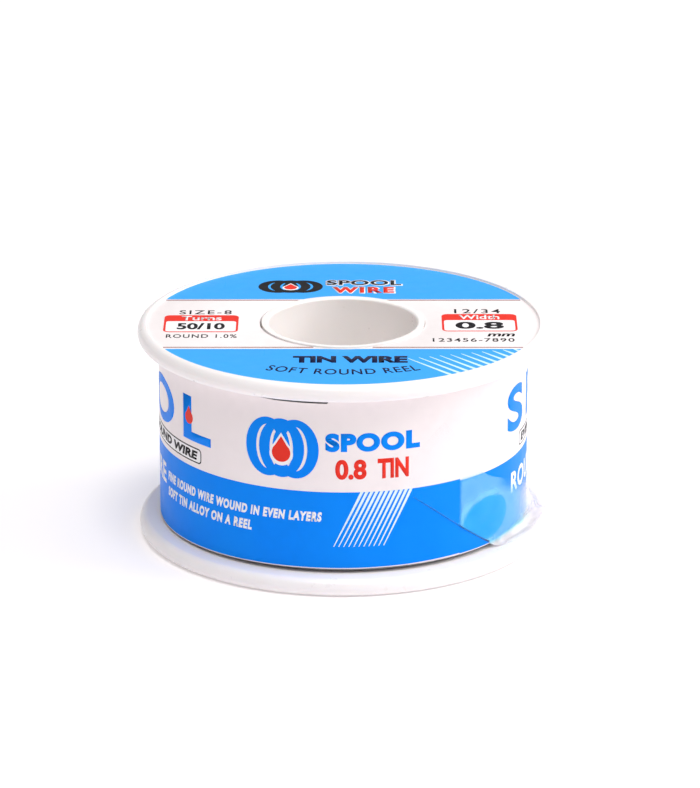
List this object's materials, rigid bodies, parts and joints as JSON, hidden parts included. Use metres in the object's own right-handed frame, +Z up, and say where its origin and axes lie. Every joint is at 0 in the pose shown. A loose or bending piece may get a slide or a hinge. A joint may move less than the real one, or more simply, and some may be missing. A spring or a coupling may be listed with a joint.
{
  "type": "solder wire spool",
  "caption": "Small flanged plastic reel of solder wire with printed paper ring labels, a printed wrap-round band closed with clear tape, and a plain central bore for a spindle.",
  "frame": {"origin": "centre of the reel's bore, on the surface that the lower flange stands on", "axes": "+Z up along the bore; -Y is the front, where the band's artwork faces; +X to the right, towards the taped end of the band"},
  "size_m": [0.058, 0.058, 0.0306],
  "materials": {
    "white_plastic": "moulded white polystyrene, soft satin sheen",
    "solder_wire": "bright drawn tin-lead solder, satin",
    "ring_label_paper": "printed coated paper, blue and white, satin",
    "band_paper": "printed coated paper, white over blue, satin",
    "clear_tape": "clear adhesive tape, glossy"
  },
  "bodies": {
    "root": {"lower_flange": "white_plastic", "upper_flange": "white_plastic", "hub_core": "white_plastic", "solder_winding": "solder_wire", "lower_ring_label": "ring_label_paper", "upper_ring_label": "ring_label_paper", "wrap_band": "band_paper", "closing_tape": "clear_tape"}
  },
  "joints": []
}
